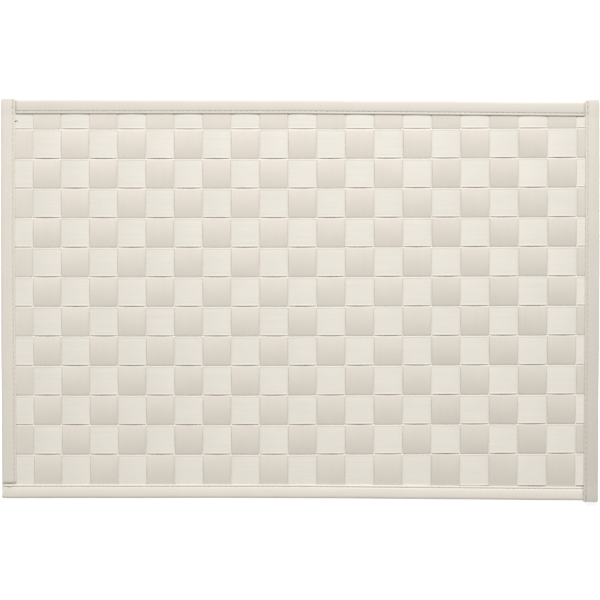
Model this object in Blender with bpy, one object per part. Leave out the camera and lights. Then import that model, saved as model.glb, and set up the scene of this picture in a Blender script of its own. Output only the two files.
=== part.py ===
"""Woven bast placemat: flat ribbons in plain weave, edged with a folded ribbon binding.

Metres, +Z up. X is the long side, and +Y is the back edge. The origin is under the middle of the mat,
on the surface that it lies on. Rows and columns are counted from the back left corner.
"""

import math

import bmesh
import bpy

MM = 0.001

# Weave: the lines between neighbouring ribbons, and how far the ribbons reach inside the bindings
COLUMN_PITCH = 21.485 * MM
FIRST_COLUMN_LINE = -201.65 * MM
COLUMN_LINES = 20
ROW_PITCH = 22.25 * MM
FIRST_ROW_LINE = 129.7 * MM
ROW_LINES = 12
SHEET_SIDE = 222.3 * MM
SHEET_BACK = 147.5 * MM
SHEET_FRONT = -147.2 * MM

# Ribbon: full at the crown of each float, and pressed thin where it turns to the other face
RIBBON_CROWN = 1.05 * MM
RIBBON_SHORT_CROWN = 0.80 * MM
RIBBON_BORDER_CROWN = 0.60 * MM
RIBBON_PRESSED = 0.40 * MM
RIBBON_SPACING = 0.90 * MM
TURN_START = 0.15 * MM

# Binding: a ribbon folded over the edge, so that one leaf lies on each face of the sheet
MAT_THICKNESS = 3.5 * MM
BINDING_WIDTH = 11.0 * MM
BINDING_LEAF = 0.70 * MM
FOLD_STEPS = 4

# Laps at the corners: the end that is lapped over is pressed flat and goes inside the other binding
CLEARANCE = 0.30 * MM
ROW_TO_BINDING = 0.40 * MM
SHOULDER = 1.00 * MM
TONGUE_THICKNESS = 1.5 * MM
TONGUE_MARGIN = 2.4 * MM
CORNER_CUT_STEP = 0.15 * MM
FREE_END_ROUNDING = 2.0 * MM
FREE_END_PULL = 1.1 * MM

# Outline: the long edges run level on the left half and sink to the right, and the short edges lean in
BACK_EDGE = 151.3 * MM
FRONT_EDGE = -149.0 * MM
LONG_EDGE_SINK = 1.9 * MM
SIDE_EDGE = 225.5 * MM
SIDE_EDGE_LEAN = 1.3 * MM
LEAN_START = 38.0 * MM
LEFT_BINDING_BACK_END = 151.9 * MM
RIGHT_BINDING_BACK_END = 150.7 * MM
RIGHT_BINDING_FRONT_END = -151.9 * MM

MIDDLE = MAT_THICKNESS / 2
TONGUE_PRESS = TONGUE_THICKNESS / MAT_THICKNESS
SIDE_CUT = SIDE_EDGE - SIDE_EDGE_LEAN - BINDING_WIDTH - SHOULDER - CLEARANCE

WARP_FINISH = {"colour": (0.76, 0.72, 0.64, 1.0), "roughness": 0.55}
WEFT_FINISH = {"colour": (0.79, 0.76, 0.69, 1.0), "roughness": 0.50}
BINDING_FINISH = {"colour": (0.74, 0.71, 0.64, 1.0), "roughness": 0.60}


def clear_scene():
    """Remove every object that the file starts with."""
    for thing in list(bpy.data.objects):
        bpy.data.objects.remove(thing, do_unlink=True)


def bast_material(name, finish):
    """Give a node its own plain bast material."""
    material = bpy.data.materials.new(name + "_bast")
    material.use_nodes = True
    shader = material.node_tree.nodes["Principled BSDF"]
    shader.inputs["Base Color"].default_value = finish["colour"]
    shader.inputs["Roughness"].default_value = finish["roughness"]
    shader.inputs["Metallic"].default_value = 0.0
    material.diffuse_color = finish["colour"]
    return material


def add_node(name, bm, finish, collection):
    """Turn a closed bmesh into a named object of the placemat, with its faces pointing out."""
    if bm.calc_volume(signed=True) < 0:
        bmesh.ops.reverse_faces(bm, faces=bm.faces[:])
    mesh = bpy.data.meshes.new(name)
    bm.to_mesh(mesh)
    bm.free()
    mesh.materials.append(bast_material(name, finish))
    collection.objects.link(bpy.data.objects.new(name, mesh))


def long_edge_sink(x):
    """How far the back and the front edge have sunk at x."""
    return -LONG_EDGE_SINK * min(max(x / SIDE_EDGE, 0.0), 1.0)


def side_edge_lean(y):
    """How far the left and the right edge have come in at y."""
    return SIDE_EDGE_LEAN * min(max((LEAN_START - y) / (LEAN_START - FRONT_EDGE), 0.0), 1.0)


def back_edge(x):
    """Outer edge of the back binding at x."""
    return BACK_EDGE + long_edge_sink(x)


def front_edge(x):
    """Outer edge of the front binding at x."""
    return FRONT_EDGE + long_edge_sink(x)


def left_edge(y):
    """Outer edge of the left binding at y."""
    return -SIDE_EDGE + side_edge_lean(y)


def right_edge(y):
    """Outer edge of the right binding at y."""
    return SIDE_EDGE - side_edge_lean(y)


def back_cut(x):
    """Where the woven sheet's corners are cut away towards the back, just short of the back binding."""
    return back_edge(x) - BINDING_WIDTH - CLEARANCE - CORNER_CUT_STEP


def front_cut(x):
    """The same towards the front. On the left, the left binding is pressed flat before the front one."""
    shoulder = SHOULDER if x < 0 else 0.0
    return front_edge(x) + BINDING_WIDTH + shoulder + CLEARANCE + CORNER_CUT_STEP


def column_bands():
    """Left and right side of each ribbon that runs from front to back."""
    lines = [FIRST_COLUMN_LINE + COLUMN_PITCH * k for k in range(COLUMN_LINES)]
    lows = [-SHEET_SIDE] + [line + RIBBON_SPACING / 2 for line in lines]
    highs = [line - RIBBON_SPACING / 2 for line in lines] + [SHEET_SIDE]
    return list(zip(lows, highs))


def row_bands(x):
    """Front and back side, at x, of each ribbon that runs from side to side, from the back one on."""
    lines = [FIRST_ROW_LINE - ROW_PITCH * k for k in range(ROW_LINES)]
    lows = [line + RIBBON_SPACING / 2 for line in lines]
    lows.append(front_edge(x) + BINDING_WIDTH + ROW_TO_BINDING)
    highs = [SHEET_BACK] + [line - RIBBON_SPACING / 2 for line in lines]
    return list(zip(lows, highs))


def layer(over, thickness):
    """Bottom and top of a ribbon that lies over or under the middle of the weave."""
    if over:
        return MIDDLE + CLEARANCE / 2, MIDDLE + CLEARANCE / 2 + thickness
    return MIDDLE - CLEARANCE / 2 - thickness, MIDDLE - CLEARANCE / 2


def ribbon_stations(crossed, first_over, shown, ends, crown, cut_corners):
    """Stations of a woven ribbon as (place, bottom, top), from its low end to its high end.

    The ribbon turns over in the space between the ribbons it crosses. Outside the shown stretch it is
    inside a binding and stays pressed. A ribbon at the sheet's border has its corners cut there.
    """
    stations = []
    over = first_over
    for band_low, band_high in crossed:
        low = max(band_low - TURN_START, shown[0])
        high = min(band_high + TURN_START, shown[1])
        full_float = high - low > band_high - band_low
        height = crown if full_float else min(crown, RIBBON_SHORT_CROWN)
        stations.append((low, *layer(over, RIBBON_PRESSED)))
        stations.append(((low + high) / 2, *layer(over, height)))
        stations.append((high, *layer(over, RIBBON_PRESSED)))
        over = not over
    low_tail = [(ends[0], *stations[0][1:])]
    high_tail = [(ends[1], *stations[-1][1:])]
    if cut_corners:
        low_tail.append((shown[0] - CORNER_CUT_STEP, *stations[0][1:]))
        high_tail.insert(0, (shown[1] + CORNER_CUT_STEP, *stations[-1][1:]))
    return low_tail + stations + high_tail


def ribbon_mesh(stations, sides_at, along_x):
    """Sweep a flat ribbon through its stations: a bar that is cut once at each of them."""
    bm = bmesh.new()
    bmesh.ops.create_cube(bm, size=1.0)
    spans = len(stations) - 1
    for vert in bm.verts:
        vert.co.x = (vert.co.x + 0.5) * spans
    for cut in range(1, spans):
        geometry = bm.verts[:] + bm.edges[:] + bm.faces[:]
        bmesh.ops.bisect_plane(bm, geom=geometry, plane_co=(cut, 0, 0), plane_no=(1, 0, 0))
    for vert in bm.verts:
        place, bottom, top = stations[round(vert.co.x)]
        low_side, high_side = sides_at(place)
        side = high_side if vert.co.y > 0 else low_side
        height = top if vert.co.z > 0 else bottom
        vert.co = (place, side, height) if along_x else (side, place, height)
    return bm


def make_warp(collection):
    """Ribbons that run from front to back. In column 0 they pass under the back row."""
    last = COLUMN_LINES
    for column, (left, right) in enumerate(column_bands()):
        crossed = row_bands((left + right) / 2)[::-1]
        at_border = column in (0, last)
        if at_border:
            shown = (front_cut(left), back_cut(right))
        else:
            shown = (front_edge(left) + BINDING_WIDTH + CLEARANCE, back_cut(right))

        def sides_at(place):
            beyond = at_border and not shown[0] <= place <= shown[1]
            return (max(left, -SIDE_CUT), min(right, SIDE_CUT)) if beyond else (left, right)

        crown = RIBBON_BORDER_CROWN if at_border else RIBBON_CROWN
        first_over = (column + ROW_LINES) % 2 == 1
        stations = ribbon_stations(crossed, first_over, shown, (SHEET_FRONT, SHEET_BACK), crown, at_border)
        bm = ribbon_mesh(stations, sides_at, along_x=False)
        add_node(f"warp_strip_{column + 1:02d}", bm, WARP_FINISH, collection)


def make_weft(collection):
    """Ribbons that run from side to side. In row 0 they pass over the left column."""
    last = ROW_LINES
    shown = (-SIDE_CUT, SIDE_CUT)
    ends = (-SHEET_SIDE, SHEET_SIDE)
    for row in range(ROW_LINES + 1):
        cut_corners = row in (0, last)

        def sides_at(place):
            front, back = row_bands(place)[row]
            if abs(place) > SIDE_CUT:
                return max(front, front_cut(place)), min(back, back_cut(place))
            return front, back

        crown = RIBBON_BORDER_CROWN if row == 0 else RIBBON_CROWN
        first_over = row % 2 == 0
        stations = ribbon_stations(column_bands(), first_over, shown, ends, crown, cut_corners)
        bm = ribbon_mesh(stations, sides_at, along_x=True)
        add_node(f"weft_strip_{row + 1:02d}", bm, WEFT_FINISH, collection)


def fold_path():
    """Outer face of the folded ribbon as (distance from the mat's edge, height), from the lower mouth."""
    path = [(BINDING_WIDTH, 0.0)]
    for step in range(FOLD_STEPS + 1):
        turn = math.pi * step / FOLD_STEPS
        path.append((MIDDLE - MIDDLE * math.sin(turn), MIDDLE - MIDDLE * math.cos(turn)))
    path.append((BINDING_WIDTH, MAT_THICKNESS))
    return path


def binding_station(place, press=1.0, pull=0.0):
    """One section of a binding: press scales its thickness, and pull draws its fold in from the edge."""
    return place, press, pull


def free_end(end, towards):
    """Stations of a binding's loose end, whose corner is a little rounded."""
    return [binding_station(end - towards * FREE_END_ROUNDING), binding_station(end, pull=FREE_END_PULL)]


def lapped_end(mouth, edge, towards):
    """Stations of an end that goes inside another binding, which has this mouth and outer edge."""
    return [
        binding_station(mouth - towards * SHOULDER),
        binding_station(mouth - towards * CLEARANCE, press=TONGUE_PRESS),
        binding_station(edge - towards * TONGUE_MARGIN, press=TONGUE_PRESS),
    ]


def binding_mesh(stations, place_on_mat):
    """Fold a ribbon lengthwise, give it its thickness, and set it along the mat's edge."""
    path = fold_path()
    across = len(path) - 1
    spans = len(stations) - 1
    bm = bmesh.new()
    bmesh.ops.create_grid(bm, x_segments=spans, y_segments=across, size=0.5)
    for vert in bm.verts:
        distance, height = path[round((vert.co.y + 0.5) * across)]
        vert.co = ((vert.co.x + 0.5) * spans, distance, height)
    bm.normal_update()
    bmesh.ops.solidify(bm, geom=bm.faces[:], thickness=BINDING_LEAF)
    for vert in bm.verts:
        place, press, pull = stations[round(vert.co.x)]
        from_mouth = (BINDING_WIDTH - vert.co.y) * (1 - pull / BINDING_WIDTH)
        height = MIDDLE + (vert.co.z - MIDDLE) * press
        vert.co = (*place_on_mat(place, BINDING_WIDTH - from_mouth), height)
    return bm


def make_bindings(collection):
    """Back, left, front and right binding, in the order in which they are sewn on."""
    left_back_mouth = left_edge(BACK_EDGE) + BINDING_WIDTH
    right_back_mouth = right_edge(BACK_EDGE) - BINDING_WIDTH
    right_front_mouth = right_edge(FRONT_EDGE) - BINDING_WIDTH
    left_front_mouth = front_edge(-SIDE_EDGE) + BINDING_WIDTH
    start_of_sink = [binding_station(0.0)]
    start_of_lean = [binding_station(LEAN_START)]

    back = lapped_end(left_back_mouth, left_edge(BACK_EDGE), -1)[::-1]
    back += start_of_sink + lapped_end(right_back_mouth, right_edge(BACK_EDGE), 1)
    left = lapped_end(left_front_mouth, front_edge(-SIDE_EDGE), -1)[::-1]
    left += start_of_lean + free_end(LEFT_BINDING_BACK_END, 1)
    front = free_end(left_edge(FRONT_EDGE), -1)[::-1]
    front += start_of_sink + lapped_end(right_front_mouth, right_edge(FRONT_EDGE), 1)
    right = free_end(RIGHT_BINDING_FRONT_END, -1)[::-1]
    right += start_of_lean + free_end(RIGHT_BINDING_BACK_END, 1)

    edges = (
        ("binding_back", back, lambda place, inward: (place, back_edge(place) - inward)),
        ("binding_left", left, lambda place, inward: (left_edge(place) + inward, place)),
        ("binding_front", front, lambda place, inward: (place, front_edge(place) + inward)),
        ("binding_right", right, lambda place, inward: (right_edge(place) - inward, place)),
    )
    for name, stations, place_on_mat in edges:
        add_node(name, binding_mesh(stations, place_on_mat), BINDING_FINISH, collection)


def main():
    clear_scene()
    collection = bpy.data.collections.new("woven_bast_placemat")
    bpy.context.scene.collection.children.link(collection)
    make_warp(collection)
    make_weft(collection)
    make_bindings(collection)


main()
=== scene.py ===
"""Woven bast placemat: fine ribbons, folded bindings with their seams, bast finishes, light and camera."""

import math
import random

import bmesh
import bpy
from bpy.props import FloatProperty, FloatVectorProperty, PointerProperty
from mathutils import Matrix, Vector, noise


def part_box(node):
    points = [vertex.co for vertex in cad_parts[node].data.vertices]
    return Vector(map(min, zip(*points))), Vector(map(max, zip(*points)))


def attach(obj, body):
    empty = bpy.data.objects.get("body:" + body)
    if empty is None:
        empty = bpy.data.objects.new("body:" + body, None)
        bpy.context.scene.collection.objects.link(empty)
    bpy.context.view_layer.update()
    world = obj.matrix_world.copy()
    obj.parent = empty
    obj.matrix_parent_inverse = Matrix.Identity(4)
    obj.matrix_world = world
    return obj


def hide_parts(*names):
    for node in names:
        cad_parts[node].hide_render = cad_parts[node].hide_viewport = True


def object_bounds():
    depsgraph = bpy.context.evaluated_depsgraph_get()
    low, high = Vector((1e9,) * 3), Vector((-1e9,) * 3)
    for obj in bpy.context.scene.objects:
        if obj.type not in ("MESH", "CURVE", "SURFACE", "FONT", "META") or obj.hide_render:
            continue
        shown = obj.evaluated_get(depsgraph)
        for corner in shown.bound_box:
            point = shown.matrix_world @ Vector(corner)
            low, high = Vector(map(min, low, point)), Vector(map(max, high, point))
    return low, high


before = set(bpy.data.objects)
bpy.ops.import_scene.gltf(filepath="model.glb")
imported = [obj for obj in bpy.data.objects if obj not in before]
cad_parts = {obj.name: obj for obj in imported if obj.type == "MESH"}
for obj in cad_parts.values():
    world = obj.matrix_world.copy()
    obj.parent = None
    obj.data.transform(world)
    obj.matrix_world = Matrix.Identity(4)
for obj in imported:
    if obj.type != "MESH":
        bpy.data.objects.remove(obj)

bl_info = {
    "name": "Woven bast placemat",
    "version": (1, 0, 0),
    "blender": (4, 5, 0),
    "location": "View3D > Sidebar > Placemat",
    "description": "Fine ribbons, bindings, seams and finishes of a woven bast placemat",
    "category": "Object",
}

MM = 0.001
CAD_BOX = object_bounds()
MIDDLE = (CAD_BOX[0].z + CAD_BOX[1].z) / 2
WARP_NODES = sorted(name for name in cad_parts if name.startswith("warp_strip_"))
WEFT_NODES = sorted(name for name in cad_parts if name.startswith("weft_strip_"))

# Outline of the mat, as its solids have it: the long edges sink to the right, and the short edges lean in
BACK_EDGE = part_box("binding_back")[1].y
FRONT_EDGE = -149.0 * MM
LONG_EDGE_SINK = 1.9 * MM
SIDE_EDGE = CAD_BOX[1].x
SIDE_EDGE_LEAN = 1.3 * MM
LEAN_START = 38.0 * MM
BINDING_WIDTH = 11.0 * MM
BINDING_LEAF = 0.70 * MM
CLEARANCE = 0.30 * MM
SHOULDER = 1.00 * MM
TONGUE_PRESS = 1.3 / 3.5
FREE_END_ROUNDING = 2.0 * MM
FREE_END_PULL = 0.5 * MM

# A woven ribbon across its width: (inset from its side, share of its half thickness, lift of the face)
RIBBON_PROFILE = (
    (0.00, 0.00, 0.00),
    (0.10, 0.75, 0.00),
    (0.32, 1.00, 0.05),
    (0.65, 1.00, 0.08),
    (1.00, 1.00, 0.04),
    (1.30, 1.00, -0.05),
    (1.65, 1.00, -0.03),
    (2.60, 1.00, 0.00),
    (5.60, 1.00, 0.01),
)
# Places along one float, as a share of its half length from its middle
FLOAT_STEPS = (-1.0, -0.9, -0.74, -0.54, -0.32, -0.1, 0.1, 0.32, 0.54, 0.74, 0.9, 1.0)
# The folded ribbon of a binding from one of its sides to where it starts to bend, in the same columns
BINDING_PROFILE = (
    (0.00, 0.00, 0.00),
    (0.10, 0.75, 0.00),
    (0.32, 1.00, 0.04),
    (0.60, 1.00, 0.08),
    (0.95, 1.00, 0.09),
    (1.28, 1.00, 0.03),
    (1.52, 1.00, -0.12),
    (1.72, 1.00, -0.34),
    (1.96, 1.00, -0.34),
    (2.18, 1.00, -0.12),
    (2.50, 1.00, 0.00),
    (3.40, 1.00, 0.02),
    (5.00, 1.00, 0.03),
    (7.00, 1.00, 0.03),
    (8.60, 1.00, 0.00),
)
SEAM_INSET = 1.84 * MM
SEAM_GROOVE = 0.34 * MM
FOLD_STEPS = 8
# How a binding's height falls off from its crest, towards the fold and towards its mouth
CREST = 5.0 * MM
FOLD_DROP = 0.13
MOUTH_DROP = 0.12
# The front binding shows a little less of its width than the others
FRONT_NARROWING = 0.945

# How the weave lies in the photograph: its columns spread from this place, and its rows sit a little forward
SPREAD_MIDDLE = -30.0 * MM
SPREAD_SHIFT = -0.9 * MM
SPREAD = 0.044
ROW_SHIFT = -1.05 * MM
ROW_RISE = 0.0036
ROW_RISE_START = -15.0 * MM

# Painted shade: the share of its tone that a binding loses in the seam's groove, more at a needle hole and at
# a lapped end
GROOVE_PAINTED_SHADE = 0.06
HOLE_PAINTED_SHADE = 0.10
LAP_PAINTED_SHADE = 0.22
# Where the numbers start that keep the wander of wefts and bindings apart from the warps'
FIRST_WEFT_NUMBER = 40
FIRST_BINDING_NUMBER = 80
# The large light, in metres
KEY_SIDE = 0.7
KEY_PLACE = (0.09, 1.50, 1.45)


class WeaveSettings(bpy.types.PropertyGroup):
    """Sizes of the woven ribbons."""

    gap: FloatProperty(
        name="Gap", description="Space between neighbouring ribbons", default=0.60 * MM, unit="LENGTH"
    )
    turn_thickness: FloatProperty(
        name="Turn thickness", description="Ribbon thickness where it turns", default=0.30 * MM, unit="LENGTH"
    )
    crown: FloatProperty(
        name="Warp crown", description="Rise of a warp float in its middle", default=0.95 * MM, unit="LENGTH"
    )
    weft_crown: FloatProperty(
        name="Weft crown", description="Rise of a weft float in its middle", default=0.62 * MM, unit="LENGTH"
    )
    border_crown: FloatProperty(
        name="Border crown", description="The same beside a binding", default=0.32 * MM, unit="LENGTH"
    )
    mouth_rise: FloatProperty(
        name="Rise at a binding",
        description="Rise of a float where a binding grips it",
        default=0.28 * MM,
        unit="LENGTH",
    )
    layer_gap: FloatProperty(
        name="Layer gap",
        description="Space between crossing ribbons at a turn",
        default=0.08 * MM,
        unit="LENGTH",
    )
    waver: FloatProperty(
        name="Waver", description="How far a ribbon's side wanders", default=0.07 * MM, unit="LENGTH"
    )


class BindingSettings(bpy.types.PropertyGroup):
    """Sizes of the bindings and their seams."""

    stitch_pitch: FloatProperty(
        name="Stitch pitch", description="From one needle hole to the next", default=4.0 * MM, unit="LENGTH"
    )
    stitch_length: FloatProperty(
        name="Stitch length",
        description="Thread that shows between two holes",
        default=3.1 * MM,
        unit="LENGTH",
    )
    thread: FloatProperty(
        name="Thread", description="Thickness of the sewing thread", default=0.40 * MM, unit="LENGTH"
    )
    hole_depth: FloatProperty(
        name="Hole depth",
        description="How deep the seam is drawn in at a hole",
        default=0.35 * MM,
        unit="LENGTH",
    )
    waver: FloatProperty(
        name="Waver", description="How far the outer edge wanders", default=0.22 * MM, unit="LENGTH"
    )
    puff: FloatProperty(
        name="Puff",
        description="Rise of an end that laps over another binding",
        default=0.35 * MM,
        unit="LENGTH",
    )


class BastSettings(bpy.types.PropertyGroup):
    """Colours of the bast and the thread."""

    # painted sheen: the weft bast is lighter than the warp's, standing in for the gloss that the wefts catch
    # across their fibres
    weft_colour_with_painted_sheen: FloatVectorProperty(
        name="Weft",
        description="Bast of the ribbons from side to side",
        subtype="COLOR",
        default=(0.79, 0.747, 0.668),
    )
    warp_colour: FloatVectorProperty(
        name="Warp",
        description="Bast of the ribbons from front to back",
        subtype="COLOR",
        default=(0.76, 0.702, 0.622),
    )
    binding_colour: FloatVectorProperty(
        name="Binding", description="Bast of the bindings", subtype="COLOR", default=(0.75, 0.702, 0.625)
    )
    thread_colour: FloatVectorProperty(
        name="Thread", description="Sewing thread", subtype="COLOR", default=(0.70, 0.66, 0.58)
    )


class StageSettings(bpy.types.PropertyGroup):
    """Camera and light."""

    view_width: FloatProperty(
        name="View width", description="Width of the picture at the mat", default=451.2 * MM, unit="LENGTH"
    )
    lens: FloatProperty(name="Lens", description="Focal length in millimetres", default=135.0)
    key_energy: FloatProperty(name="Key", description="Power of the large light", default=37.7, unit="POWER")
    fill_strength: FloatProperty(name="Fill", description="Strength of the light all around", default=0.397)


def wander(place, seed, scale):
    """A smooth value from -1 to 1 that depends only on the place and the seed."""
    return noise.noise(Vector((place / scale, seed * 7.31, 0.5)))


def long_edge_sink(x):
    """How far the back and the front edge have sunk at x."""
    return -LONG_EDGE_SINK * min(max(x / SIDE_EDGE, 0.0), 1.0)


def side_edge_lean(y):
    """How far the left and the right edge have come in at y."""
    return SIDE_EDGE_LEAN * min(max((LEAN_START - y) / (LEAN_START - FRONT_EDGE), 0.0), 1.0)


def ramp(value, start, stop):
    """0 before start, 1 after stop, and straight between them."""
    return min(max((value - start) / (stop - start), 0.0), 1.0)


def settle(x, y, z):
    """Move a point of the weave from its even grid to how it lies, clear of the bindings; its tone is 1."""
    spread = SPREAD_SHIFT + SPREAD * (x - SPREAD_MIDDLE) ** 2 - side_edge_lean(y) * x / SIDE_EDGE
    spread *= 1 - ramp(abs(x), 207 * MM, 213 * MM)
    rise = ROW_SHIFT + ROW_RISE * max(0.0, x - ROW_RISE_START)
    rise *= 1 - 0.5 * ramp(-y, 128 * MM, 137 * MM) - ramp(y, 132 * MM, 139 * MM)
    return x + spread, y + rise, z, 1.0


def sweep(name, sections):
    """Close a ring of (x, y, z, tone) at each station into one skin, with both ends filled."""
    spans = len(sections) - 1
    around = len(sections[0])
    bm = bmesh.new()
    bmesh.ops.create_grid(bm, x_segments=spans, y_segments=around, size=0.5)
    tones = bm.verts.layers.float.new("tone")
    for vert in bm.verts:
        station = round((vert.co.x + 0.5) * spans)
        point = round((vert.co.y + 0.5) * around) % around
        *vert.co, vert[tones] = sections[station][point]
    bmesh.ops.remove_doubles(bm, verts=bm.verts[:], dist=1e-7)
    rims = [edge for edge in bm.edges if edge.is_boundary]
    for edge in rims:
        edge.smooth = False
    bmesh.ops.holes_fill(bm, edges=rims, sides=0)
    for face in bm.faces:
        face.smooth = True
    if bm.calc_volume(signed=True) < 0:
        bmesh.ops.reverse_faces(bm, faces=bm.faces[:])
    return finished(name, bm)


def finished(name, bm):
    """Turn a bmesh into an object at the origin."""
    mesh = bpy.data.meshes.new(name)
    bm.to_mesh(mesh)
    bm.free()
    piece = bpy.data.objects.new(name, mesh)
    bpy.context.scene.collection.objects.link(piece)
    return piece


def add_length_uv(piece, along_x):
    """Lay a UV map on a piece: U runs along its fibres, and V across them."""
    mesh = piece.data
    layer = mesh.uv_layers.new(name="Fibres")
    corners = [0] * len(mesh.loops)
    mesh.loops.foreach_get("vertex_index", corners)
    places = [(v.co.x, v.co.y + v.co.z) if along_x else (v.co.y, v.co.x + v.co.z) for v in mesh.vertices]
    layer.uv.foreach_set("vector", [10 * value for corner in corners for value in places[corner]])


def noise_node(nodes, links, vector, scale, detail, name):
    """A noise texture that is stretched by its own mapping."""
    mapping = nodes.new("ShaderNodeMapping")
    mapping.inputs["Scale"].default_value = scale
    links.new(vector, mapping.inputs["Vector"])
    texture = nodes.new("ShaderNodeTexNoise")
    texture.label = name
    texture.inputs["Scale"].default_value = 1.0
    texture.inputs["Detail"].default_value = detail
    links.new(mapping.outputs["Vector"], texture.inputs["Vector"])
    return texture.outputs["Fac"]


def math_node(nodes, links, operation, first, second):
    """One Math node; each input is a socket or a number."""
    node = nodes.new("ShaderNodeMath")
    node.operation = operation
    for slot, value in enumerate((first, second)):
        if isinstance(value, (int, float)):
            node.inputs[slot].default_value = value
        else:
            links.new(value, node.inputs[slot])
    return node.outputs["Value"]


def bast_material(name, colour, along_x, streak, gloss=0.5):
    """Bast with fine fibres along its ribbon, broader streaks, and a soft gloss across the fibres."""
    material = bpy.data.materials.new(name)
    material.use_nodes = True
    nodes = material.node_tree.nodes
    links = material.node_tree.links
    shader = nodes["Principled BSDF"]
    place = nodes.new("ShaderNodeTexCoord").outputs["Object"]

    def stretched(across, along):
        return (along, across, across) if along_x else (across, along, across)

    fibres = noise_node(nodes, links, place, stretched(2400, 45), 3.0, "fibres")
    streaks = noise_node(nodes, links, place, stretched(520, 9), 2.0, "streaks")
    patches = noise_node(nodes, links, place, (55, 55, 55), 1.0, "patches")

    tone = math_node(nodes, links, "MULTIPLY", math_node(nodes, links, "SUBTRACT", fibres, 0.5), streak)
    centred = math_node(nodes, links, "SUBTRACT", streaks, 0.5)
    broad = math_node(nodes, links, "MULTIPLY", centred, streak * 0.7)
    drift = math_node(nodes, links, "MULTIPLY", math_node(nodes, links, "SUBTRACT", patches, 0.5), 0.05)
    # the per-vertex tone, which carries painted light and shade as well as random tone
    tone_with_painted_light = nodes.new("ShaderNodeAttribute")
    tone_with_painted_light.attribute_name = "tone"
    total = math_node(nodes, links, "ADD", math_node(nodes, links, "ADD", tone, broad), drift)
    value = math_node(nodes, links, "ADD", total, tone_with_painted_light.outputs["Fac"])
    tint = nodes.new("ShaderNodeHueSaturation")
    tint.inputs["Color"].default_value = (*colour, 1.0)
    links.new(value, tint.inputs["Value"])
    links.new(tint.outputs["Color"], shader.inputs["Base Color"])

    rough = math_node(nodes, links, "ADD", math_node(nodes, links, "MULTIPLY", fibres, 0.16), gloss - 0.08)
    links.new(rough, shader.inputs["Roughness"])
    shader.inputs["Anisotropic"].default_value = 0.8
    shader.inputs["Anisotropic Rotation"].default_value = 0.25
    shader.inputs["Specular IOR Level"].default_value = 0.4
    tangent = nodes.new("ShaderNodeTangent")
    tangent.direction_type = "UV_MAP"
    tangent.uv_map = "Fibres"
    links.new(tangent.outputs["Tangent"], shader.inputs["Tangent"])

    height = math_node(nodes, links, "ADD", fibres, math_node(nodes, links, "MULTIPLY", streaks, 0.6))
    bump = nodes.new("ShaderNodeBump")
    bump.inputs["Strength"].default_value = 0.5
    bump.inputs["Distance"].default_value = 0.06 * MM
    links.new(height, bump.inputs["Height"])
    links.new(bump.outputs["Normal"], shader.inputs["Normal"])
    return material


def thread_material(name, colour):
    """Matt thread with a fine twist."""
    material = bpy.data.materials.new(name)
    material.use_nodes = True
    nodes = material.node_tree.nodes
    links = material.node_tree.links
    shader = nodes["Principled BSDF"]
    place = nodes.new("ShaderNodeTexCoord").outputs["Object"]
    twist = noise_node(nodes, links, place, (5200, 5200, 5200), 1.0, "twist")
    tint = nodes.new("ShaderNodeHueSaturation")
    tint.inputs["Color"].default_value = (*colour, 1.0)
    tone = math_node(nodes, links, "MULTIPLY", math_node(nodes, links, "SUBTRACT", twist, 0.5), 0.3)
    value = math_node(nodes, links, "ADD", tone, 1.0)
    links.new(value, tint.inputs["Value"])
    links.new(tint.outputs["Color"], shader.inputs["Base Color"])
    shader.inputs["Roughness"].default_value = 0.75
    return material


def ribbon_section(low, high, bottom, top, weight, point_at):
    """Points round a flat ribbon between two sides: over its upper face, and back under its lower face."""
    half = (top - bottom) / 2
    centre = (top + bottom) / 2
    columns = [(low + inset * MM, swell, lift * MM) for inset, swell, lift in RIBBON_PROFILE]
    columns += [(high - inset * MM, swell, lift * MM) for inset, swell, lift in RIBBON_PROFILE[::-1]]
    upper = [point_at(side, centre + half * swell + lift * weight) for side, swell, lift in columns]
    lower = [point_at(side, centre - half * swell - lift * (1 - weight)) for side, swell, lift in columns]
    return upper + lower[-2:0:-1]


def float_levels(arch, over, turn, crown, layer_gap):
    """Bottom and top of a ribbon at a share of its arch, over or under the middle of the weave."""
    inner = layer_gap / 2 + crown / 2 * arch
    outer = layer_gap / 2 + turn + crown * arch
    return (MIDDLE + inner, MIDDLE + outer) if over else (MIDDLE - outer, MIDDLE - inner)


def weave_lines(nodes, axis):
    """Low and high limit of each ribbon's cell: half way to its neighbours."""
    boxes = sorted((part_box(node)[0][axis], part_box(node)[1][axis]) for node in nodes)
    lines = [(first[1] + second[0]) / 2 for first, second in zip(boxes, boxes[1:])]
    return [boxes[0][0]] + lines + [boxes[-1][1]]


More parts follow.
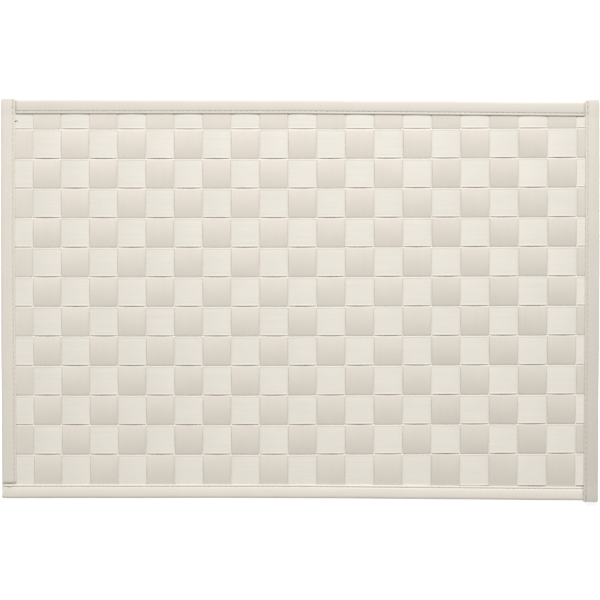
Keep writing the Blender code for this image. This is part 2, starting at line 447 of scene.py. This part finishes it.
def make_ribbon(name, node, number, crossing, first_over, shown, along_x, settings, crown, border):
    """One woven ribbon, from end to end of its solid, over and under the ribbons that it crosses."""
    axis = 0 if along_x else 1
    low_corner, high_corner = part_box(node)
    own = weave_lines(WEFT_NODES if along_x else WARP_NODES, 1 - axis)
    sides = low_corner[1 - axis] + high_corner[1 - axis]
    index = min(range(len(own) - 1), key=lambda cell: abs(own[cell] + own[cell + 1] - sides))
    low_side = own[index] + (settings.gap / 2 if index > 0 else 0)
    high_side = own[index + 1] - (settings.gap / 2 if index < len(own) - 2 else 0)
    stations = []
    over = first_over
    for cell_low, cell_high in zip(crossing, crossing[1:]):
        start = max(cell_low + settings.gap / 2, shown[0])
        stop = min(cell_high - settings.gap / 2, shown[1])
        rise = crown * min(1.0, ((stop - start) / (crossing[2] - crossing[1])) ** 2 + 0.1)
        for share in FLOAT_STEPS:
            place = (start + stop) / 2 + share * (stop - start) / 2
            cut = start if share < 0 else stop
            held = min(1.0, settings.mouth_rise / rise) if cut in shown else 0.0
            arch = 1 - (1 - held) * share * share
            levels = float_levels(arch, over, settings.turn_thickness, rise, settings.layer_gap)
            stations.append((place, *levels, 1.0 if over else 0.0))
        over = not over
    first, last = stations[0], stations[-1]
    stations.insert(0, (low_corner[axis], *first[1:]))
    stations.append((high_corner[axis], *last[1:]))

    sections = []
    for place, bottom, top, weight in stations:
        inside = shown[0] <= place <= shown[1]
        low, high = low_side, high_side
        if border and not inside:
            low, high = max(low, border[0]), min(high, border[1])
        low += settings.waver * wander(place, number, 17 * MM)
        high += settings.waver * wander(place, number + 0.5, 17 * MM)

        def point_at(side, z, along=place):
            return settle(along, side, z) if along_x else settle(side, along, z)

        sections.append(ribbon_section(low, high, bottom, top, weight, point_at))
    return sweep(name, sections)


def dress(piece, material, along_x, tone, node=None):
    """Give a piece its finish and its tone, painted light and shade included, ramped from front to back, and
    let it ride and stand for its node.
    """
    piece.data.materials.append(material)
    add_length_uv(piece, along_x)
    tones = piece.data.attributes["tone"].data
    back_tone_with_painted_light, front_tone_with_painted_light = tone if isinstance(tone, tuple) else (tone, tone)
    for vertex, local in zip(piece.data.vertices, tones):
        local.value *= front_tone_with_painted_light + (back_tone_with_painted_light - front_tone_with_painted_light) * ramp(vertex.co.y, FRONT_EDGE, BACK_EDGE)
    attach(piece, "root")
    if node:
        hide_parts(node)


def declare_ribbon(node):
    """Reads the box of a ribbon's solid and does nothing more with it."""
    low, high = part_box(node)


class PLACEMAT_OT_warp(bpy.types.Operator):
    """Make the ribbons that run from front to back"""

    bl_idname = "placemat.warp"
    bl_label = "Warp ribbons"

    def execute(self, context):
        settings = context.scene.placemat_weave
        colours = context.scene.placemat_bast
        material = bast_material("warp_bast", colours.warp_colour, False, 0.06)
        draw = random.Random(11)
        crossing = weave_lines(WEFT_NODES, 1)
        rows = len(WEFT_NODES)
        last = len(WARP_NODES) - 1
        inner = SIDE_EDGE - SIDE_EDGE_LEAN - BINDING_WIDTH - SHOULDER - CLEARANCE
        for column, node in enumerate(WARP_NODES):
            low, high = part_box(node)
            back = BACK_EDGE + long_edge_sink(high.x) - BINDING_WIDTH - CLEARANCE
            front = FRONT_EDGE + long_edge_sink(low.x) + BINDING_WIDTH + CLEARANCE
            border = (-inner, inner) if column in (0, last) else None
            if column == 0:
                front += SHOULDER
            name = f"warp_ribbon_{column + 1:02d}"
            over = (column + rows - 1) % 2 == 1
            crown = settings.border_crown if border else settings.crown
            shown = (front, back)
            piece = make_ribbon(name, node, column, crossing, over, shown, False, settings, crown, border)
            # painted shade: the warps are darker towards the right side, standing in for how the light falls
            # there, with a small random tone on top
            tone = 1.0 - 0.055 * ramp(low.x, 50 * MM, 150 * MM) + draw.uniform(-0.012, 0.012)
            dress(piece, material, False, tone, node)
            declare_ribbon(node)
        return {"FINISHED"}


class PLACEMAT_OT_weft(bpy.types.Operator):
    """Make the ribbons that run from side to side"""

    bl_idname = "placemat.weft"
    bl_label = "Weft ribbons"

    def execute(self, context):
        settings = context.scene.placemat_weave
        colours = context.scene.placemat_bast
        material = bast_material("weft_bast", colours.weft_colour_with_painted_sheen, True, 0.10)
        draw = random.Random(23)
        crossing = weave_lines(WARP_NODES, 0)
        inner = SIDE_EDGE - SIDE_EDGE_LEAN - BINDING_WIDTH - SHOULDER - CLEARANCE
        back = BACK_EDGE - LONG_EDGE_SINK - BINDING_WIDTH - CLEARANCE
        front = FRONT_EDGE + BINDING_WIDTH + SHOULDER + CLEARANCE
        for row, node in enumerate(WEFT_NODES):
            border = (front, back) if row == 0 else None
            name = f"weft_ribbon_{row + 1:02d}"
            over = row % 2 == 0
            crown = settings.border_crown if border else settings.weft_crown
            number = row + FIRST_WEFT_NUMBER
            shown = (-inner, inner)
            piece = make_ribbon(name, node, number, crossing, over, shown, True, settings, crown, border)
            # painted light and shade: the tone rises row by row, standing in for how the light falls across
            # the mat, with a small random tone on top
            tone = 0.99 + 0.06 * row / len(WEFT_NODES) + draw.uniform(-0.01, 0.01)
            dress(piece, material, True, tone, node)
            declare_ribbon(node)
        return {"FINISHED"}


def binding_fall(distance):
    """Share of its height that a binding loses at a distance from its outer edge."""
    if distance < CREST:
        return FOLD_DROP * ((CREST - distance) / CREST) ** 2
    return MOUTH_DROP * ((distance - CREST) / (BINDING_WIDTH - CREST)) ** 2


def binding_path():
    """Middle of the folded ribbon as (distance from the edge, height, outward normal, swell, lift, seam)."""
    radius = MIDDLE - BINDING_LEAF / 2
    turn_at = MIDDLE
    leaf = []
    for inset, swell, lift in BINDING_PROFILE:
        leaf.append((BINDING_WIDTH - inset * MM, swell, lift * MM, abs(inset * MM - SEAM_INSET) < 0.2 * MM))
    bottom = BINDING_LEAF / 2
    path = [(distance, bottom, 0.0, -1.0, swell, lift, seam) for distance, swell, lift, seam in leaf]
    for step in range(FOLD_STEPS + 1):
        angle = math.pi * step / FOLD_STEPS
        away, down = math.sin(angle), math.cos(angle)
        path.append((turn_at - radius * away, MIDDLE - radius * down, -away, -down, 1.0, 0.0, False))
    top = 2 * MIDDLE - BINDING_LEAF / 2
    path += [(distance, top, 0.0, 1.0, swell, lift, seam) for distance, swell, lift, seam in leaf[::-1]]
    return path


def make_binding(name, stops, edge_point, number, settings):
    """One ribbon folded over an edge. Its stops are (place, press, pull, lap, draw)."""
    path = [(binding_fall(point[0]), *point) for point in binding_path()]
    pitch = settings.stitch_pitch
    places = []
    for (start, *first), (stop, *second) in zip(stops, stops[1:]):
        steps = max(1, round((stop - start) / (pitch / 4)))
        for step in range(steps):
            share = step / steps
            blend = [a + (b - a) * share for a, b in zip(first, second)]
            places.append((start + (stop - start) * share, *blend))
    places.append(stops[-1])
    sections = []
    for place, press, pull, lap, draw in places:
        wave = settings.waver * wander(place, number, 45 * MM)
        hole = max(0.0, math.cos(2 * math.pi * place / pitch)) ** 2
        drawn = settings.hole_depth * (hole + 0.6 * lap)
        outer, inner = [], []
        for fall, distance, height, away, up, swell, lift, seam in path:
            half = BINDING_LEAF / 2 * swell
            sunk = drawn if seam else 0.0
            # painted shade: the seam's groove, its needle holes and a lapped end are darkened in the tone
            tone = 1 - (GROOVE_PAINTED_SHADE + HOLE_PAINTED_SHADE * hole + LAP_PAINTED_SHADE * lap) if seam else 1.0
            share = 1 - distance / BINDING_WIDTH
            shift = (pull + wave) * share
            spot = place + draw * (distance / BINDING_WIDTH) ** 3
            for side, ring in ((1, outer), (-1, inner)):
                reach = half * side + (lift - sunk if side > 0 else -sunk)
                z = (height + up * reach) * (1 - fall * (1 - 0.8 * lap))
                z = MIDDLE + (z - MIDDLE) * press
                if up > 0:
                    z += settings.puff * lap * (0.4 + 0.6 * math.sin(math.pi * share))
                ring.append((*edge_point(spot, distance + away * reach + shift, z), tone))
        sections.append(outer + inner[-2:0:-1])
    return sweep(name, sections)


def lap_at(stops, place):
    """How far a binding laps over another one at a place, from 0 to 1."""
    for first, second in zip(stops, stops[1:]):
        if first[0] <= place <= second[0]:
            return first[3] + (second[3] - first[3]) * (place - first[0]) / (second[0] - first[0])
    return 0.0


def make_seam(name, stops, edge_point, settings):
    """Stitches of one binding, on its upper and its lower face, as one joined mesh."""
    pitch = settings.stitch_pitch
    radius = settings.thread / 2
    at = BINDING_WIDTH - SEAM_INSET
    shown = [stop[0] for stop in stops if stop[1] == 1.0]
    bm = bmesh.new()
    tones = bm.verts.layers.float.new("tone")
    first = math.ceil((shown[0] + MM) / pitch)
    last = math.floor((shown[-1] - MM) / pitch)
    for count in range(first, last):
        middle = (count + 0.5) * pitch
        lap = lap_at(stops, middle)
        top = (2 * MIDDLE - SEAM_GROOVE) * (1 - binding_fall(at) * (1 - 0.8 * lap))
        top += settings.puff * lap * (0.4 + 0.6 * math.sin(math.pi * SEAM_INSET / BINDING_WIDTH))
        threads = [(1, top + 0.05 * MM, 0.0), (-1, SEAM_GROOVE - 0.05 * MM, 0.0)]
        if lap > 0.5:
            threads += [(1, top + (SEAM_GROOVE + 0.08 * MM), side * 0.62 * MM) for side in (1, -1)]
        for upward, level, aside in threads:
            made = bmesh.ops.create_uvsphere(bm, u_segments=8, v_segments=6, radius=1.0)
            slant = 0.05 * MM * wander(middle, 3.7 + upward, 6 * MM) + aside * 0.3
            for vert in made["verts"]:
                along = vert.co.z * settings.stitch_length / 2
                across = aside + vert.co.x * radius + slant * vert.co.z
                sag = (vert.co.z ** 2) * 0.10 * MM * upward
                height = level + vert.co.y * radius * 0.8 - sag
                vert.co = edge_point(middle + along, at + across, height)
    for vert in bm.verts:
        vert[tones] = 1.0
    for face in bm.faces:
        face.smooth = True
    if bm.calc_volume(signed=True) < 0:
        bmesh.ops.reverse_faces(bm, faces=bm.faces[:])
    return finished(name, bm)


def back_point(place, inward, z):
    return place, BACK_EDGE + long_edge_sink(place) - inward, z


def front_point(place, inward, z):
    return place, FRONT_EDGE + long_edge_sink(place) + inward * FRONT_NARROWING, z


def left_point(place, inward, z):
    return -SIDE_EDGE + side_edge_lean(place) + inward, place, z


def right_point(place, inward, z):
    return SIDE_EDGE - side_edge_lean(place) - inward, place, z


def free_end(end, towards, draw):
    """Stops of an end that laps over another binding: rounded, puffed, and drawn back at its mouth."""
    return [
        (end - towards * (BINDING_WIDTH + FREE_END_ROUNDING), 1.0, 0.0, 0.0, 0.0),
        (end - towards * (BINDING_WIDTH + FREE_END_ROUNDING) / 2, 1.0, 0.0, 1.0, 0.0),
        (end - towards * FREE_END_ROUNDING, 1.0, 0.0, 1.0, 0.0),
        (end, 1.0, FREE_END_PULL, 0.6, -towards * draw),
    ]


def lapped_end(mouth, tip, towards):
    """Stops of an end that goes inside another binding."""
    return [
        (mouth - towards * SHOULDER, 1.0, 0.0, 0.0, 0.0),
        (mouth - towards * CLEARANCE, TONGUE_PRESS, 0.0, 0.0, 0.0),
        (tip, TONGUE_PRESS, 0.0, 0.0, 0.0),
    ]


def binding_plans():
    """Each binding's node with its stops along the edge, its placing, its direction, and its tone, which
    holds painted light and shade.
    """
    back, front, left, right = (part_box(f"binding_{side}") for side in ("back", "front", "left", "right"))
    back_mouth = SIDE_EDGE - BINDING_WIDTH
    front_mouth = SIDE_EDGE - SIDE_EDGE_LEAN - BINDING_WIDTH
    left_mouth = FRONT_EDGE + BINDING_WIDTH
    middle = [(0.0, 1.0, 0.0, 0.0, 0.0)]
    lean = [(LEAN_START, 1.0, 0.0, 0.0, 0.0)]
    back_stops = lapped_end(-back_mouth, back[0].x, -1)[::-1] + middle + lapped_end(back_mouth, back[1].x, 1)
    left_stops = lapped_end(left_mouth, left[0].y, -1)[::-1] + lean + free_end(left[1].y, 1, 0.3 * MM)
    front_stops = free_end(front[0].x, -1, 1.7 * MM)[::-1] + middle + lapped_end(front_mouth, front[1].x, 1)
    right_stops = free_end(right[0].y, -1, 0.3 * MM)[::-1] + lean + free_end(right[1].y, 1, 0.3 * MM)
    return (
        # painted light and shade: the last value scales a binding's tone, a whole binding lighter or darker,
        # and the side bindings darker towards the front
        ("binding_back", back_stops, back_point, True, 0.93),
        ("binding_left", left_stops, left_point, False, (1.03, 1.0)),
        ("binding_front", front_stops, front_point, True, 1.10),
        ("binding_right", right_stops, right_point, False, (1.0, 0.87)),
    )


class PLACEMAT_OT_bindings(bpy.types.Operator):
    """Make the four folded bindings"""

    bl_idname = "placemat.bindings"
    bl_label = "Bindings"

    def execute(self, context):
        settings = context.scene.placemat_binding
        colours = context.scene.placemat_bast
        materials = {
            True: bast_material("long_binding_bast", colours.binding_colour, True, 0.08),
            False: bast_material("side_binding_bast", colours.binding_colour, False, 0.06),
        }
        for number, (node, stops, edge_point, along_x, tone) in enumerate(binding_plans()):
            seed = number + FIRST_BINDING_NUMBER
            piece = make_binding(f"folded_{node}", stops, edge_point, seed, settings)
            dress(piece, materials[along_x], along_x, tone, node)
            low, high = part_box(node)
        return {"FINISHED"}


class PLACEMAT_OT_seams(bpy.types.Operator):
    """Make the stitches along the bindings"""

    bl_idname = "placemat.seams"
    bl_label = "Seams"

    def execute(self, context):
        settings = context.scene.placemat_binding
        material = thread_material("thread", context.scene.placemat_bast.thread_colour)
        for node, stops, edge_point, along_x, _ in binding_plans():
            piece = make_seam(node.replace("binding", "seam"), stops, edge_point, settings)
            dress(piece, material, along_x, 1.0)
        return {"FINISHED"}


class PLACEMAT_OT_stage(bpy.types.Operator):
    """Make the floor, the light and the camera"""

    bl_idname = "placemat.stage"
    bl_label = "Stage"

    def execute(self, context):
        settings = context.scene.placemat_stage
        make_floor()
        make_light(settings)
        make_camera(settings)
        context.scene.view_settings.view_transform = "Standard"
        return {"FINISHED"}


def make_floor():
    """A plain pale floor that stays near white in soft shade."""
    bm = bmesh.new()
    bmesh.ops.create_grid(bm, x_segments=1, y_segments=1, size=4.0)
    floor = finished("floor", bm)
    material = bpy.data.materials.new("pale_floor")
    material.use_nodes = True
    shader = material.node_tree.nodes["Principled BSDF"]
    shader.inputs["Base Color"].default_value = (0.85, 0.85, 0.85, 1.0)
    shader.inputs["Roughness"].default_value = 0.9
    shader.inputs["Specular IOR Level"].default_value = 0.1
    shader.inputs["Emission Color"].default_value = (1.0, 1.0, 1.0, 1.0)
    shader.inputs["Emission Strength"].default_value = 0.62
    floor.data.materials.append(material)


def make_light(settings):
    """One large soft light behind the mat and a little to the right, and an even fill."""
    key = bpy.data.lights.new("key", "AREA")
    key.shape = "RECTANGLE"
    key.size = KEY_SIDE
    key.size_y = KEY_SIDE
    key.energy = settings.key_energy
    lamp = bpy.data.objects.new("key", key)
    lamp.location = KEY_PLACE
    lamp.rotation_mode = "QUATERNION"
    lamp.rotation_quaternion = (-lamp.location).to_track_quat("-Z", "Y")
    bpy.context.scene.collection.objects.link(lamp)
    world = bpy.context.scene.world or bpy.data.worlds.new("world")
    bpy.context.scene.world = world
    world.use_nodes = True
    background = world.node_tree.nodes["Background"]
    background.inputs["Color"].default_value = (1.0, 1.0, 1.0, 1.0)
    background.inputs["Strength"].default_value = settings.fill_strength


def make_camera(settings):
    """Straight above the mat, through a long lens."""
    camera = bpy.data.cameras.new("camera")
    camera.lens = settings.lens
    camera.sensor_width = 36.0
    height = settings.view_width / 2 / (camera.sensor_width / 2 / camera.lens)
    eye = bpy.data.objects.new("camera", camera)
    eye.location = (-0.11 * MM, 0.15 * MM, height + CAD_BOX[1].z)
    bpy.context.scene.collection.objects.link(eye)
    bpy.context.scene.camera = eye


class PLACEMAT_PT_panel(bpy.types.Panel):
    """Lists the steps that make the placemat"""

    bl_idname = "PLACEMAT_PT_panel"
    bl_label = "Woven bast placemat"
    bl_space_type = "VIEW_3D"
    bl_region_type = "UI"
    bl_category = "Placemat"

    def draw(self, context):
        for operator in OPERATORS:
            self.layout.operator(operator.bl_idname)
        for group in SETTINGS:
            box = self.layout.box()
            for name in group.__annotations__:
                box.prop(getattr(context.scene, SETTINGS[group]), name)


SETTINGS = {
    WeaveSettings: "placemat_weave",
    BindingSettings: "placemat_binding",
    BastSettings: "placemat_bast",
    StageSettings: "placemat_stage",
}
OPERATORS = (
    PLACEMAT_OT_warp,
    PLACEMAT_OT_weft,
    PLACEMAT_OT_bindings,
    PLACEMAT_OT_seams,
    PLACEMAT_OT_stage,
)


def register():
    for group, name in SETTINGS.items():
        bpy.utils.register_class(group)
        setattr(bpy.types.Scene, name, PointerProperty(type=group))
    for operator in OPERATORS:
        bpy.utils.register_class(operator)
    bpy.utils.register_class(PLACEMAT_PT_panel)


def unregister():
    bpy.utils.unregister_class(PLACEMAT_PT_panel)
    for operator in reversed(OPERATORS):
        bpy.utils.unregister_class(operator)
    for group, name in SETTINGS.items():
        delattr(bpy.types.Scene, name)
        bpy.utils.unregister_class(group)


def main():
    register()
    bpy.ops.placemat.warp()
    bpy.ops.placemat.weft()
    bpy.ops.placemat.bindings()
    bpy.ops.placemat.seams()
    bpy.ops.placemat.stage()


if __name__ == "__main__":
    main()
